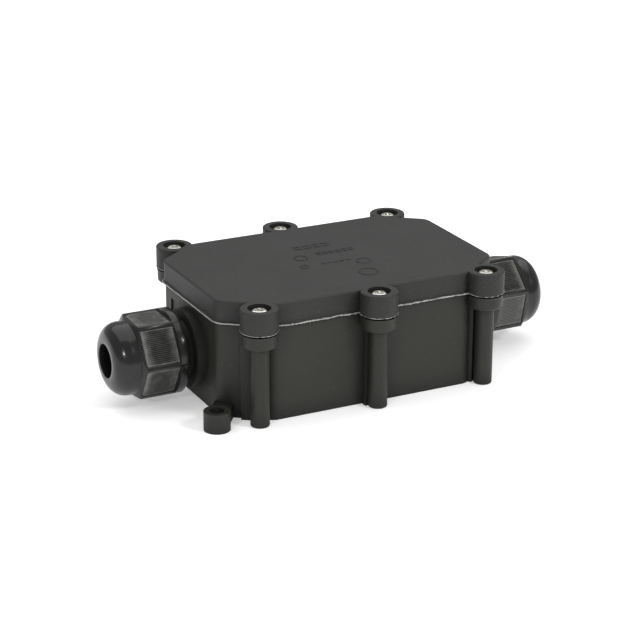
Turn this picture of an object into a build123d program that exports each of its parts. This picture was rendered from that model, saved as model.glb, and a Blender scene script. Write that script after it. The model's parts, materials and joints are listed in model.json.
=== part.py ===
"""A two-way outdoor junction box: a moulded base and lid held by six screws, with a compression
cable gland at each end and a three-pole terminal block inside.

Frame: the origin is on the resting plane under the middle of the box. +X runs along the box from the
left gland to the right one, +Y to the rear long side and +Z up through the lid. Millimetres.
"""
from build123d import *
from math import atan2, cos, degrees, pi, sin, sqrt
import os

# ---- driving dimensions: the box -------------------------------------------------------------
BOX_LENGTH = 100.0  # lid skirt, end to end
BOX_WIDTH = 65.4  # lid skirt, side to side
BOX_HEIGHT = 39.4  # underside to lid top
CHAMFER_X = 15.0  # how far each corner chamfer runs along the long side
CHAMFER_Y = 11.0  # and along the short side
CORNER_ROUND = 5.0  # round where a chamfer meets a side
BASE_INSET = 0.4  # the base wall stands this far inside the lid skirt
WALL = 3.0
FLOOR = 2.6
BASE_RIM_Z = 31.3  # top face of the base wall
SEAM_GAP = 0.4  # gap between base rim and lid skirt, bridged by the gasket
INSIDE_ROUND = 2.0  # round between the floor and the inner walls

# ---- lid -------------------------------------------------------------------------------------
LID_TOP = 2.4  # thickness of the lid's roof
LID_EDGE_ROUND = 0.8
LIP_HEIGHT = 0.8  # bead round the foot of the skirt
LIP_PROUD = 0.45

# ---- screw bosses and posts ------------------------------------------------------------------
CORNER_BOSS_SETBACK = 9.4  # corner boss centres behind the end of the lid
CORNER_BOSS_REACH = 1.0  # and outside its long side
MIDDLE_BOSS_REACH = 3.4  # middle boss centres outside the long side
BOSS_RADIUS = 6.1
BOSS_TOP_ROUND = 0.45
BOSS_FOOT_RAISE = 0.2  # the lid boss stops this far above the foot of the skirt
COUNTERBORE_RADIUS = 3.8
COUNTERBORE_DEPTH = 3.5
COLLAR_DEPTH = 4.6  # height of the tapered collar at the head of a post
COLLAR_FOOT_RADIUS = 4.7
POST_RADIUS = 3.1
POST_FOOT_ROUND = 0.5
PAD_PROUD = 1.4  # corner pads stand this far out of the chamfer
PAD_EDGE = 6.75  # from the post centre, towards the end wall
PAD_TAIL = 2.0  # and towards the long side
WEB_WIDTH = 7.4  # web between a middle post and the long wall
PILOT_DEPTH = 15.0

# ---- lid screws ------------------------------------------------------------------------------
SCREW_SHANK_RADIUS = 1.45
SCREW_HEAD_RADIUS = 2.8
SCREW_HEAD_HEIGHT = 2.1
SCREW_LENGTH = 14.0  # under the head
SCREW_HOLE_CLEARANCE = 0.35  # lid hole over the shank
PILOT_CLEARANCE = 0.05  # post hole over the shank
CROSS_WIDTH = 0.9
CROSS_SPAN = 3.3
CROSS_DEPTH = 1.2

# ---- gasket ----------------------------------------------------------------------------------
GROOVE_WIDTH = 1.5
GROOVE_DEPTH = 1.6
GASKET_CLEARANCE = 0.1

# ---- fixing ears -----------------------------------------------------------------------------
EAR_REACH = 4.0  # ear hole centres beyond the end of the lid
EAR_SETBACK = 2.1  # and inside its long side
EAR_RADIUS = 4.3
EAR_HOLE_RADIUS = 2.5
EAR_HEIGHT = 6.4
EAR_WEB_WIDTH = 6.2
EAR_WEB_HEIGHT = 5.0

# ---- end walls and threaded spigots ----------------------------------------------------------
GLAND_AXIS_Z = 16.4
PANEL_EDGE = 17.1  # edge of the end panel, in from the long side
PANEL_TOP_Z = 28.0
PANEL_DEPTH = 0.5
COLLAR_RING_RADIUS = 12.9
COLLAR_RING_PROUD = 2.4  # round boss, out from the end of the lid
SPIGOT_RADIUS = 9.5
SPIGOT_LENGTH = 15.6  # out from the end of the lid
SPIGOT_BORE_RADIUS = 7.5

# ---- gland nut -------------------------------------------------------------------------------
NUT_STAND_OFF = 6.0  # flange face, out from the end of the lid
NUT_LENGTH = 23.0
NUT_FLANGE_RADIUS = 14.0
NUT_FLANGE_LENGTH = 2.6
NUT_ACROSS_FLATS = 24.4
NUT_HEX_LENGTH = 12.8
NUT_DOME_RADIUS = 12.0
NUT_HEX_BEVEL = 1.7  # cone that trims the outer ends of the hex corners
NUT_MOUTH_RADIUS = 5.6
NUT_LIP_WIDTH = 0.9
NUT_THREAD_CLEARANCE = 0.6
NUT_SEAT_START = 12.2  # where the inner cone starts, from the nut's inner end
NUT_SEAT_END = 21.2
NUT_SEAT_RADIUS = 9.3
GRIP_WIDTH = 11.8
GRIP_LENGTH = 11.2
GRIP_DEPTH = 0.35
LEFT_NUT_TURN = 0.0  # hex corner from the horizontal, degrees
RIGHT_NUT_TURN = 17.0

# ---- clamping cage and rubber bush -----------------------------------------------------------
CAGE_FIT = 0.1  # cage sleeve inside the spigot bore
CAGE_SLEEVE_LENGTH = 7.0
CAGE_SHOULDER_RADIUS = 8.7
CAGE_SHOULDER_LENGTH = 1.4
CAGE_WALL = 1.3
FINGER_LENGTH = 6.4
FINGER_ROOT_RADIUS = 8.0
FINGER_TIP_RADIUS = 7.0
FINGER_COUNT = 10
FINGER_SLIT = 1.0
BUSH_BORE_RADIUS = 4.0
BUSH_CLEARANCE = 0.1

# ---- terminal block --------------------------------------------------------------------------
POLE_COUNT = 3
POLE_PITCH = 9.4
BLOCK_LENGTH = 21.0  # along X
BLOCK_SEAT_Z = 5.0
BLOCK_PLATE = 3.0
LOBE_WIDTH = 7.8
LOBE_HEIGHT = 9.6
TOWER_RADIUS = 3.5
TOWER_HEIGHT = 13.0
TERMINAL_SPACING = 10.6  # between the two screws of a pole
SLEEVE_RADIUS = 2.9
SLEEVE_BORE_RADIUS = 1.9
SLEEVE_LENGTH = 18.0
SLEEVE_FIT = 0.05
TERMINAL_SCREW_RADIUS = 1.3
TERMINAL_HEAD_RADIUS = 1.9
TERMINAL_HEAD_HEIGHT = 1.8
TERMINAL_CLEARANCE = 0.15
SLOT_WIDTH = 0.6
SLOT_DEPTH = 0.7
FIXING_REACH = 2.6  # lug centres beyond the outer poles
FIXING_RADIUS = 1.2
FIXING_HEAD_RADIUS = 2.2
FIXING_HEAD_HEIGHT = 1.4
PAD_RADIUS = 3.2  # floor pads and the lugs that stand on them

# ---- worked out from the above ---------------------------------------------------------------
CORNER_BOSS_X = BOX_LENGTH / 2 - CORNER_BOSS_SETBACK
CORNER_BOSS_Y = BOX_WIDTH / 2 + CORNER_BOSS_REACH
MIDDLE_BOSS_Y = BOX_WIDTH / 2 + MIDDLE_BOSS_REACH
EAR_X = BOX_LENGTH / 2 + EAR_REACH
EAR_Y = BOX_WIDTH / 2 - EAR_SETBACK
PANEL_HALF_WIDTH = BOX_WIDTH / 2 - PANEL_EDGE
COLLAR_RING_END = BOX_LENGTH / 2 + COLLAR_RING_PROUD
SPIGOT_END = BOX_LENGTH / 2 + SPIGOT_LENGTH
NUT_INNER_END = BOX_LENGTH / 2 + NUT_STAND_OFF
LID_FOOT_Z = BASE_RIM_Z + SEAM_GAP
BOSS_FOOT_Z = LID_FOOT_Z + BOSS_FOOT_RAISE
COUNTERBORE_Z = BOX_HEIGHT - COUNTERBORE_DEPTH
CHAMFER_LENGTH = sqrt(CHAMFER_X**2 + CHAMFER_Y**2)
CHAMFER_ANGLE = degrees(atan2(CHAMFER_Y, CHAMFER_X))
CHAMFER_NORMAL = (CHAMFER_Y / CHAMFER_LENGTH, CHAMFER_X / CHAMFER_LENGTH)
END_WALL_X = BOX_LENGTH / 2 - BASE_INSET
LONG_WALL_Y = BOX_WIDTH / 2 - BASE_INSET
INNER_INSET = BASE_INSET + WALL
GROOVE_FLOOR_Z = BASE_RIM_Z - GROOVE_DEPTH
LID_HOLE_RADIUS = SCREW_SHANK_RADIUS + SCREW_HOLE_CLEARANCE
PILOT_RADIUS = SCREW_SHANK_RADIUS + PILOT_CLEARANCE
CAGE_RADIUS = SPIGOT_BORE_RADIUS - CAGE_FIT
BUSH_RADIUS = CAGE_RADIUS - CAGE_WALL - BUSH_CLEARANCE
SLEEVE_Z = BLOCK_SEAT_Z + LOBE_HEIGHT / 2
BOSS_SPOTS = [
    (x, y * side)
    for side in (-1, 1)
    for x, y in ((-CORNER_BOSS_X, CORNER_BOSS_Y), (0.0, MIDDLE_BOSS_Y), (CORNER_BOSS_X, CORNER_BOSS_Y))
]
POLE_SPOTS = [(i - (POLE_COUNT - 1) / 2) * POLE_PITCH for i in range(POLE_COUNT)]
FIXING_SPOTS = [side * (POLE_COUNT * POLE_PITCH / 2 + FIXING_REACH) for side in (-1, 1)]
TERMINAL_SPOTS = [(side * TERMINAL_SPACING / 2, y) for y in POLE_SPOTS for side in (-1, 1)]


# ---- small helpers ---------------------------------------------------------------------------
def rod(radius, low, high, x=0.0, y=0.0):
    """An upright cylinder between two heights."""
    return Pos(x, y, (low + high) / 2) * Cylinder(radius, high - low)


def block(x_range, y_range, z_range):
    """A box between the given limits."""
    (x0, x1), (y0, y1), (z0, z1) = x_range, y_range, z_range
    return Pos((x0 + x1) / 2, (y0 + y1) / 2, (z0 + z1) / 2) * Box(x1 - x0, y1 - y0, z1 - z0)


def turned(*profile):
    """A solid turned about Z from its (radius, height) outline."""
    face = make_face(Plane.XZ * Polyline(*profile, profile[0]))
    return revolve(face, Axis.Z)


def outline(inset):
    """The box's plan, a rectangle with chamfered and rounded corners, set in by an amount."""
    half_x = BOX_LENGTH / 2
    half_y = BOX_WIDTH / 2
    reach = CHAMFER_Y * half_x + CHAMFER_X * (half_y - CHAMFER_Y) - inset * CHAMFER_LENGTH
    far_x = half_x - inset
    far_y = half_y - inset
    end_y = (reach - CHAMFER_Y * far_x) / CHAMFER_X
    side_x = (reach - CHAMFER_X * far_y) / CHAMFER_Y
    corners = [
        (far_x, end_y), (side_x, far_y), (-side_x, far_y), (-far_x, end_y),
        (-far_x, -end_y), (-side_x, -far_y), (side_x, -far_y), (far_x, -end_y),
    ]
    plan = Polygon(*corners, align=None)
    return fillet(plan.vertices(), max(CORNER_ROUND - inset, 0.5))


def slab(inset, low, high):
    """The box's plan between two heights."""
    return extrude(Pos(0, 0, low) * outline(inset), amount=high - low)


def to_gland(shape, side):
    """Lays a part built along +Z on to the left (-1) or right (+1) gland axis."""
    return Pos(0, 0, GLAND_AXIS_Z) * Rot(0, 90 * side, 0) * shape


# ---- base ------------------------------------------------------------------------------------
def post(x, y):
    """A screw post with its tapered collar."""
    stem = rod(POST_RADIUS, 0, BASE_RIM_Z - COLLAR_DEPTH, x, y)
    stem = fillet(stem.edges().sort_by(Axis.Z)[0], POST_FOOT_ROUND)
    collar = Cone(COLLAR_FOOT_RADIUS, BOSS_RADIUS - 0.1, COLLAR_DEPTH)
    return stem + Pos(x, y, BASE_RIM_Z - COLLAR_DEPTH / 2) * collar


def corner_pad(x, y):
    """The flat pad that carries a corner post, standing out of the chamfer but not of the walls."""
    sign_x = 1 if x > 0 else -1
    sign_y = 1 if y > 0 else -1
    turn = -CHAMFER_ANGLE * sign_x * sign_y
    mid_x = sign_x * (BOX_LENGTH / 2 - CHAMFER_X / 2)
    mid_y = sign_y * (BOX_WIDTH / 2 - CHAMFER_Y / 2)
    normal = (sign_x * CHAMFER_NORMAL[0], sign_y * CHAMFER_NORMAL[1])
    along = (sign_x * CHAMFER_NORMAL[1], -sign_y * CHAMFER_NORMAL[0])
    lift = (x - mid_x) * normal[0] + (y - mid_y) * normal[1]
    depth = PAD_PROUD - BASE_INSET - lift - WALL
    slide = (PAD_EDGE - PAD_TAIL) / 2
    centre_x = x + normal[0] * depth + along[0] * slide
    centre_y = y + normal[1] * depth + along[1] * slide
    pad = Rot(0, 0, turn) * Box(PAD_EDGE + PAD_TAIL, 2 * WALL, BASE_RIM_Z)
    pad = Pos(centre_x, centre_y, BASE_RIM_Z / 2) * pad
    return pad & block((-END_WALL_X, END_WALL_X), (-LONG_WALL_Y, LONG_WALL_Y), (0, BASE_RIM_Z))


def middle_web(y):
    """The web between a middle post and the long wall."""
    low, high = sorted((LONG_WALL_Y - 1, MIDDLE_BOSS_Y - POST_RADIUS / 2))
    if y < 0:
        low, high = -high, -low
    return block((-WEB_WIDTH / 2, WEB_WIDTH / 2), (low, high), (0, BASE_RIM_Z))


def ear(side):
    """A fixing ear: a ring joined to the corner by a web. Side -1 is front left, +1 is rear right."""
    x, y = side * EAR_X, side * EAR_Y
    ring = rod(EAR_RADIUS, 0, EAR_HEIGHT, x, y)
    reach = 2 * EAR_RADIUS + 2.5
    centre = (x - side * CHAMFER_NORMAL[0] * reach / 2, y - side * CHAMFER_NORMAL[1] * reach / 2)
    web = Pos(centre[0], centre[1], EAR_WEB_HEIGHT / 2) * Rot(0, 0, -CHAMFER_ANGLE) * Box(
        EAR_WEB_WIDTH, reach, EAR_WEB_HEIGHT
    )
    return ring + web


def end_spigot(side):
    """The round boss and threaded spigot on an end wall."""
    boss = rod(COLLAR_RING_RADIUS, END_WALL_X - WALL / 2, COLLAR_RING_END)
    spigot = rod(SPIGOT_RADIUS, END_WALL_X - WALL / 2, SPIGOT_END)
    return to_gland(boss + spigot, side)


def make_base():
    shell = slab(BASE_INSET, 0, BASE_RIM_Z)
    for x, y in BOSS_SPOTS:
        shell += middle_web(y) if x == 0 else corner_pad(x, y)
        shell += post(x, y)
    shell += ear(-1)
    shell += ear(1)
    for side in (-1, 1):
        panel_x = sorted((side * (END_WALL_X - PANEL_DEPTH), side * (END_WALL_X + WALL)))
        shell -= block(panel_x, (-PANEL_HALF_WIDTH, PANEL_HALF_WIDTH), (0, PANEL_TOP_Z))
        shell += end_spigot(side)
    room = slab(INNER_INSET, FLOOR, BASE_RIM_Z + 1)
    room = fillet(room.faces().sort_by(Axis.Z)[0].edges(), INSIDE_ROUND)
    shell -= room
    margin = (WALL - GROOVE_WIDTH) / 2
    groove = slab(BASE_INSET + margin, GROOVE_FLOOR_Z, BASE_RIM_Z + 1)
    groove -= slab(BASE_INSET + margin + GROOVE_WIDTH, GROOVE_FLOOR_Z - 1, BASE_RIM_Z + 2)
    shell -= groove
    for side in (-1, 1):
        shell -= to_gland(rod(SPIGOT_BORE_RADIUS, END_WALL_X - 2 * WALL, SPIGOT_END + 1), side)
        shell -= rod(EAR_HOLE_RADIUS, -1, EAR_HEIGHT + 1, side * EAR_X, side * EAR_Y)
    for x, y in BOSS_SPOTS:
        shell -= rod(PILOT_RADIUS, BASE_RIM_Z - PILOT_DEPTH, BASE_RIM_Z + 1, x, y)
    for y in FIXING_SPOTS:
        shell += rod(PAD_RADIUS, FLOOR / 2, BLOCK_SEAT_Z, 0, y)
        shell -= rod(FIXING_RADIUS + PILOT_CLEARANCE, FLOOR / 2, BLOCK_SEAT_Z + 1, 0, y)
    return shell


# ---- lid and gasket --------------------------------------------------------------------------
def boss(x, y):
    """A lid screw boss, before its holes."""
    body = rod(BOSS_RADIUS, BOSS_FOOT_Z, BOX_HEIGHT, x, y)
    return fillet(body.edges().filter_by(GeomType.CIRCLE), BOSS_TOP_ROUND)


def make_lid():
    shell = slab(0, LID_FOOT_Z, BOX_HEIGHT)
    shell = fillet(shell.faces().sort_by(Axis.Z)[-1].edges(), LID_EDGE_ROUND)
    lip = slab(-LIP_PROUD, LID_FOOT_Z, LID_FOOT_Z + LIP_HEIGHT)
    shell += chamfer(lip.faces().sort_by(Axis.Z)[-1].edges(), LIP_PROUD * 0.8)
    for x, y in BOSS_SPOTS:
        shell += boss(x, y)
    shell -= slab(INNER_INSET, LID_FOOT_Z - 1, BOX_HEIGHT - LID_TOP)
    for x, y in BOSS_SPOTS:
        shell -= rod(COUNTERBORE_RADIUS, COUNTERBORE_Z, BOX_HEIGHT + 1, x, y)
        shell -= rod(LID_HOLE_RADIUS, LID_FOOT_Z - 1, BOX_HEIGHT, x, y)
    return shell


def make_gasket():
    margin = (WALL - GROOVE_WIDTH) / 2 + GASKET_CLEARANCE
    width = GROOVE_WIDTH - 2 * GASKET_CLEARANCE
    ring = slab(BASE_INSET + margin, GROOVE_FLOOR_Z, LID_FOOT_Z)
    return ring - slab(BASE_INSET + margin + width, GROOVE_FLOOR_Z - 1, LID_FOOT_Z + 1)


def make_lid_screw(x, y):
    """A pan-head cross-recess screw seated in its counterbore."""
    top = COUNTERBORE_Z + SCREW_HEAD_HEIGHT
    head = rod(SCREW_HEAD_RADIUS, COUNTERBORE_Z, top)
    head = fillet(head.edges().sort_by(Axis.Z)[-1], SCREW_HEAD_HEIGHT * 0.45)
    screw = head + rod(SCREW_SHANK_RADIUS, COUNTERBORE_Z - SCREW_LENGTH, COUNTERBORE_Z)
    for turn in (0, 90):
        screw -= Pos(0, 0, top) * Rot(0, 0, turn) * Box(CROSS_SPAN, CROSS_WIDTH, 2 * CROSS_DEPTH)
    return Pos(x, y, 0) * screw


# ---- glands ----------------------------------------------------------------------------------
def nut_outside(turn):
    """Flange, hexagon and dome, with a shallow grip recess on each flat."""
    hex_end = NUT_FLANGE_LENGTH + NUT_HEX_LENGTH
    flange = chamfer(rod(NUT_FLANGE_RADIUS, 0, NUT_FLANGE_LENGTH).edges().filter_by(GeomType.CIRCLE), 0.3)
    flats = RegularPolygon(NUT_ACROSS_FLATS / 2, 6, major_radius=False)
    hexagon = extrude(Pos(0, 0, NUT_FLANGE_LENGTH - 0.5) * flats, amount=NUT_HEX_LENGTH + 0.5)
    corner = NUT_ACROSS_FLATS / sqrt(3)
    hexagon &= turned(
        (0, 0), (corner + 1, 0), (corner + 1, hex_end - NUT_HEX_BEVEL - 1),
        (NUT_DOME_RADIUS - 0.2, hex_end + 0.2), (0, hex_end + 0.2),
    )
    for i in range(6):
        grip = Pos(NUT_ACROSS_FLATS / 2, 0, NUT_FLANGE_LENGTH + GRIP_LENGTH / 2) * Box(
            2 * GRIP_DEPTH, GRIP_WIDTH, GRIP_LENGTH
        )
        hexagon -= Rot(0, 0, 60 * i) * grip
    dome = rod(NUT_DOME_RADIUS, NUT_FLANGE_LENGTH - 0.5, NUT_LENGTH)
    rounding = NUT_DOME_RADIUS - NUT_MOUTH_RADIUS - NUT_LIP_WIDTH
    dome = fillet(dome.edges().sort_by(Axis.Z)[-1], rounding)
    return Rot(0, 0, turn) * (flange + hexagon) + dome


def make_nut(side, turn):
    """A domed compression nut on its spigot."""
    thread = SPIGOT_RADIUS + NUT_THREAD_CLEARANCE
    inside = turned(
        (0, -1), (thread, -1), (thread, NUT_SEAT_START), (NUT_SEAT_RADIUS, NUT_SEAT_START),
        (NUT_MOUTH_RADIUS, NUT_SEAT_END), (NUT_MOUTH_RADIUS, NUT_LENGTH + 1), (0, NUT_LENGTH + 1),
    )
    return to_gland(Pos(0, 0, NUT_INNER_END) * (nut_outside(turn) - inside), side)


def make_cage(side):
    """The clamping cage: a sleeve in the spigot, a shoulder on its mouth and a crown of fingers."""
    root = CAGE_SHOULDER_LENGTH
    tip = root + FINGER_LENGTH
    cage = turned(
        (CAGE_RADIUS - CAGE_WALL, -CAGE_SLEEVE_LENGTH), (CAGE_RADIUS, -CAGE_SLEEVE_LENGTH), (CAGE_RADIUS, 0),
        (CAGE_SHOULDER_RADIUS, 0), (CAGE_SHOULDER_RADIUS, root), (FINGER_ROOT_RADIUS, root),
        (FINGER_TIP_RADIUS, tip), (FINGER_TIP_RADIUS - CAGE_WALL, tip), (CAGE_RADIUS - CAGE_WALL, root),
    )
    for i in range(FINGER_COUNT):
        slit = Pos(FINGER_ROOT_RADIUS, 0, root + FINGER_LENGTH) * Box(
            2 * (FINGER_ROOT_RADIUS - 1), FINGER_SLIT, 2 * FINGER_LENGTH
        )
        cage -= Rot(0, 0, 360 / FINGER_COUNT * i) * slit
    return to_gland(Pos(0, 0, SPIGOT_END) * cage, side)


def make_bush(side):
    """The rubber bush that the cage squeezes on to the cable."""
    tip = CAGE_SHOULDER_LENGTH + FINGER_LENGTH + 0.6
    tip_radius = FINGER_TIP_RADIUS - CAGE_WALL - 0.2
    bush = turned(
        (BUSH_BORE_RADIUS, -CAGE_SLEEVE_LENGTH), (BUSH_RADIUS, -CAGE_SLEEVE_LENGTH),
        (BUSH_RADIUS, CAGE_SHOULDER_LENGTH), (tip_radius, tip), (BUSH_BORE_RADIUS, tip),
    )
    return to_gland(Pos(0, 0, SPIGOT_END) * bush, side)


# ---- terminal block --------------------------------------------------------------------------
def make_block():
    half = BLOCK_LENGTH / 2
    across = POLE_COUNT * POLE_PITCH / 2
    body = block((-half, half), (-across, across), (BLOCK_SEAT_Z, BLOCK_SEAT_Z + BLOCK_PLATE))
    body = fillet(body.edges().filter_by(Axis.Z), 1.0)
    top = BLOCK_SEAT_Z + LOBE_HEIGHT
    for y in POLE_SPOTS:
        lobe = block((-half, half), (y - LOBE_WIDTH / 2, y + LOBE_WIDTH / 2), (BLOCK_SEAT_Z, top))
        body += fillet(lobe.faces().sort_by(Axis.Z)[-1].edges().filter_by(Axis.X), 1.6)
    for x, y in TERMINAL_SPOTS:
        body += rod(TOWER_RADIUS, BLOCK_SEAT_Z, BLOCK_SEAT_Z + TOWER_HEIGHT, x, y)
    for y in POLE_SPOTS:
        channel = Rot(0, 90, 0) * Cylinder(SLEEVE_RADIUS + SLEEVE_FIT, BLOCK_LENGTH + 2)
        body -= Pos(0, y, SLEEVE_Z) * channel
    well = TERMINAL_HEAD_RADIUS + TERMINAL_CLEARANCE
    for x, y in TERMINAL_SPOTS:
        body -= rod(well, SLEEVE_Z, BLOCK_SEAT_Z + TOWER_HEIGHT + 1, x, y)
    for y in FIXING_SPOTS:
        body += rod(PAD_RADIUS, BLOCK_SEAT_Z, BLOCK_SEAT_Z + BLOCK_PLATE, 0, y)
        body -= rod(FIXING_RADIUS + TERMINAL_CLEARANCE, 0, top, 0, y)
    return body


def make_sleeve(y):
    """A brass clamping sleeve, open at both ends, with a hole for each of its screws."""
    tube = Cylinder(SLEEVE_RADIUS, SLEEVE_LENGTH) - Cylinder(SLEEVE_BORE_RADIUS, SLEEVE_LENGTH)
    sleeve = Pos(0, y, SLEEVE_Z) * Rot(0, 90, 0) * tube
    for side in (-1, 1):
        x = side * TERMINAL_SPACING / 2
        sleeve -= rod(TERMINAL_SCREW_RADIUS + PILOT_CLEARANCE, SLEEVE_Z, SLEEVE_Z + SLEEVE_RADIUS + 1, x, y)
    return sleeve


def make_terminal_screw(x, y):
    foot = SLEEVE_Z + SLEEVE_BORE_RADIUS * 0.3
    seat = SLEEVE_Z + SLEEVE_RADIUS + 0.5
    top = seat + TERMINAL_HEAD_HEIGHT
    screw = rod(TERMINAL_SCREW_RADIUS, foot, seat, x, y) + rod(TERMINAL_HEAD_RADIUS, seat, top, x, y)
    return screw - Pos(x, y, top) * Box(2 * TERMINAL_HEAD_RADIUS + 1, SLOT_WIDTH, 2 * SLOT_DEPTH)


def make_fixing_screws():
    """The screws that hold the block on its pads."""
    seat = BLOCK_SEAT_Z + BLOCK_PLATE
    top = seat + FIXING_HEAD_HEIGHT
    screws = []
    for y in FIXING_SPOTS:
        screw = rod(FIXING_RADIUS, FLOOR / 2 + 0.3, seat, 0, y) + rod(FIXING_HEAD_RADIUS, seat, top, 0, y)
        for turn in (0, 90):
            screw -= Pos(0, y, top) * Rot(0, 0, turn) * Box(2.6, 0.7, FIXING_HEAD_HEIGHT)
        screws.append(screw)
    return Compound(children=screws)


# ---- all the pieces --------------------------------------------------------------------------
def make_parts():
    parts = {
        "base_housing": make_base(),
        "lid": make_lid(),
        "lid_gasket": make_gasket(),
        "terminal_block": make_block(),
        "block_fixing_screws": make_fixing_screws(),
    }
    places = ("front_left", "front_middle", "front_right", "rear_left", "rear_middle", "rear_right")
    for place, (x, y) in zip(places, BOSS_SPOTS):
        parts[f"lid_screw_{place}"] = make_lid_screw(x, y)
    for name, side, turn in (("left", -1, LEFT_NUT_TURN), ("right", 1, RIGHT_NUT_TURN)):
        parts[f"{name}_gland_nut"] = make_nut(side, turn)
        parts[f"{name}_clamping_cage"] = make_cage(side)
        parts[f"{name}_seal_bush"] = make_bush(side)
    for number, y in enumerate(POLE_SPOTS, 1):
        parts[f"terminal_sleeve_{number}"] = make_sleeve(y)
    for number, (x, y) in enumerate(TERMINAL_SPOTS, 1):
        parts[f"terminal_screw_{number}"] = make_terminal_screw(x, y)
    return parts


os.makedirs("parts", exist_ok=True)
for node, shape in make_parts().items():
    export_step(shape, f"parts/{node}.step")
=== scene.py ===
"""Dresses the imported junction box: plastics and metals, gland nuts, screws, threads, seam and lid marks."""

import bpy
import json
import random
from math import cos, hypot, pi, radians, sin
from mathutils import Matrix, Vector


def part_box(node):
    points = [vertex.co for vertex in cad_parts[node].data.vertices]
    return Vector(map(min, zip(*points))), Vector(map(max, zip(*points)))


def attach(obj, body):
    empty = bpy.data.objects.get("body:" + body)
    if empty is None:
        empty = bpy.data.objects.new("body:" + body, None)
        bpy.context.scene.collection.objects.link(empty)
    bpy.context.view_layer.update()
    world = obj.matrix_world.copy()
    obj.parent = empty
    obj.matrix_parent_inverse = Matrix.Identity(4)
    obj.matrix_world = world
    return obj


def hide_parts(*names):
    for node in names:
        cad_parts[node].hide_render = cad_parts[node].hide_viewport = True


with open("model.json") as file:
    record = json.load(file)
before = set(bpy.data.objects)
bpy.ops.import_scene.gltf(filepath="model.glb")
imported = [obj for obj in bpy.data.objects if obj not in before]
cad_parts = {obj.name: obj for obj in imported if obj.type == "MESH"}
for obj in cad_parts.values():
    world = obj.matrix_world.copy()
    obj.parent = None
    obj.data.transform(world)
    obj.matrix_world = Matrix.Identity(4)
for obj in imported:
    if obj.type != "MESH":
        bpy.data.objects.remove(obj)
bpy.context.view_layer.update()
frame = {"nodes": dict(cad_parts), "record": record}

MM = 0.001

# ---- sizes, in millimetres, from the box's frame ---------------------------------------------
OVERLAP = 0.5  # how far one joined drum reaches into the next
SPARE = 1.0  # how far a cutting tool stands past what it cuts
HAIR = 0.01  # lets two cuts meet without a skin between them

# compression nuts, along the gland from the flange face
GLAND_AXIS_Z = 16.4
SIDES = {"left": -1, "right": 1}
NUT_TURN = {"left": 0.0, "right": -17.0}
NUT_INNER_END = 56.0
NUT_LENGTH = 23.0
NUT_FLANGE = 2.6
NUT_FLANGE_RADIUS = 14.0
NUT_ACROSS_FLATS = 24.4
NUT_HEX = 12.8
HEX_BEVEL = 1.7  # how far back the corners are trimmed
HEX_TRIM_ROOM = 0.6  # the trimming tool's radius past the corners
HEX_TRIM_SKIN = 0.1  # and how far it passes the hexagon's end
NUT_DOME_RADIUS = 12.0
NUT_DOME_STEPS = 14
NUT_MOUTH_RADIUS = 5.6
NUT_LIP = 0.9
NUT_BORE_RADIUS = 10.1
NUT_SEAT = (12.2, 21.2, 9.3)  # start, end and first radius of the inner cone
NUT_SOFTNESS = 0.16
GRIP_RECESS = (11.2, 11.8, 0.35)  # along the gland, across the flat, depth
GRIP_RECESS_START = 0.1  # past the flange

# ribs in the grip recesses
PANEL_DEPTH_RADIUS = 11.84  # from the gland axis to the floor of a grip panel
PANEL_START = 0.15  # past the flange
PANEL_RUN = 11.0  # ribbed length along the gland
PANEL_SPAN = 11.5
PANEL_ROWS = 38  # valleys and crests, one after the other
PANEL_COLUMNS = 8
RIB_HEIGHT = 0.34
PLATE = 0.03

# spigot threads
SPIGOT_START = 53.1
SPIGOT_END = 65.0
SPIGOT_ROOT = 9.48
SPIGOT_PITCH = 1.5
SPIGOT_DEPTH = 0.5
SPIGOT_STEPS = 56  # sides to a turn
RIDGE_SHARE = 0.4  # half a ridge's foot over the pitch

# lid screws
SCREW_PLACES = ("front_left", "front_middle", "front_right", "rear_left", "rear_middle", "rear_right")
HEAD_RADIUS = 2.8
HEAD_FOOT_Z = 35.9
HEAD_TOP_Z = 38.85
HEAD_ROUND = 1.3
HEAD_STEPS = 6
CROSS = (3.4, 0.85, 1.5)  # span, width and depth of the recess
CROSS_TURN = 0.3
SCREW_SOFTNESS = 0.07
SHANK_ROOT = 1.45
SHANK_TIP_Z = 21.9
SHANK_OVERLAP = 0.2
SHANK_PITCH = 1.1
SHANK_DEPTH = 0.26
SHANK_FOOT = 22.1
SHANK_HEAD = 31.0
SHANK_STEPS = 28

# seam between base and lid
LID_LENGTH = 100.0
LID_WIDTH = 65.4
LID_TOP_Z = 39.4
CHAMFER = (15.0, 11.0)
CORNER_ROUND = 5.0
CORNER_STEPS = 6
LIP_PROUD = 0.45
LINE_STEP = 0.45  # between the points of a line round the lid
LINE_HOLD = 0.8  # share of a line's wander that carries on to its next point
SWELL_SHARE = 0.7  # how much a line swells against how much it thins
CALM_END_X = -44.0  # left of here a line is nearly even
CALM_SHARE = 0.15
# a thin dark strip on the base under the lid's lip: painted shadow for the gap beneath the lip
SHADOW_STRIP_INSET = 0.3
SHADOW_STRIP_Z = 31.42
SHADOW_STRIP_RADIUS = 0.24
BEAD_Z = 31.95
BEAD_RADIUS = 0.24
BOSS_SPOTS = ((-40.6, -33.7), (0.0, -36.1), (40.6, -33.7), (-40.6, 33.7), (0.0, 36.1), (40.6, 33.7))
BOSS_FLASH_RADIUS = 6.1
BOSS_FLASH_Z = 32.05
BOSS_FLASH_WIRE = 0.1
BOSS_FLASH_POINTS = 90
BOSS_FLASH_SEED = 20

# collars at the heads of the screw posts
COLLAR_RADIUS = 5.8
COLLAR_FOOT_Z = 26.9
COLLAR_TOP_Z = 31.35
COLLAR_ROUND = 1.0
COLLAR_STEPS = 5
COLLAR_HOLE = 3.3

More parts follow.
